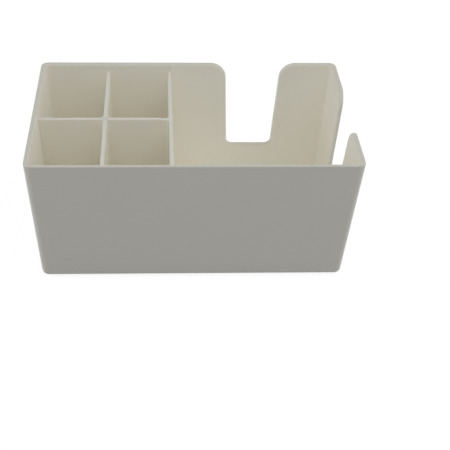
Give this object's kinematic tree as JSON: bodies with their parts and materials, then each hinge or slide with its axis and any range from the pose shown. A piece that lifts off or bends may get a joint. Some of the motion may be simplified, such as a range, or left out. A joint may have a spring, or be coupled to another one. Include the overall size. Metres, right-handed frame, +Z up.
{
  "type": "bar caddy",
  "caption": "Open-top bar organiser with drafted walls, a wide napkin bay with U-shaped finger notches, and small compartments made by a lift-out partition and cross divider.",
  "frame": {"origin": "on the ground under the middle of the tub, at the undersides of the feet", "axes": "+X along the caddy to the right, towards the napkin bay; +Y to the back wall; +Z up"},
  "size_m": [0.24, 0.1466, 0.1067],
  "materials": {
    "ivory_plastic": "satin moulded, fine grain",
    "foot_rubber": "matte"
  },
  "bodies": {
    "tub": {"caddy_tub": "ivory_plastic", "foot_front_left": "foot_rubber", "foot_front_right": "foot_rubber", "foot_back_left": "foot_rubber", "foot_back_right": "foot_rubber"},
    "partition": {"bay_partition": "ivory_plastic"},
    "divider": {"cross_divider": "ivory_plastic"}
  },
  "joints": [
    {"name": "partition_lift", "type": "slide", "parent": "tub", "child": "partition", "axis": [0, 0, 1], "range_m": [0, 0.11]},
    {"name": "divider_lift", "type": "slide", "parent": "tub", "child": "divider", "axis": [0, 0, 1], "range_m": [0, 0.11]}
  ]
}
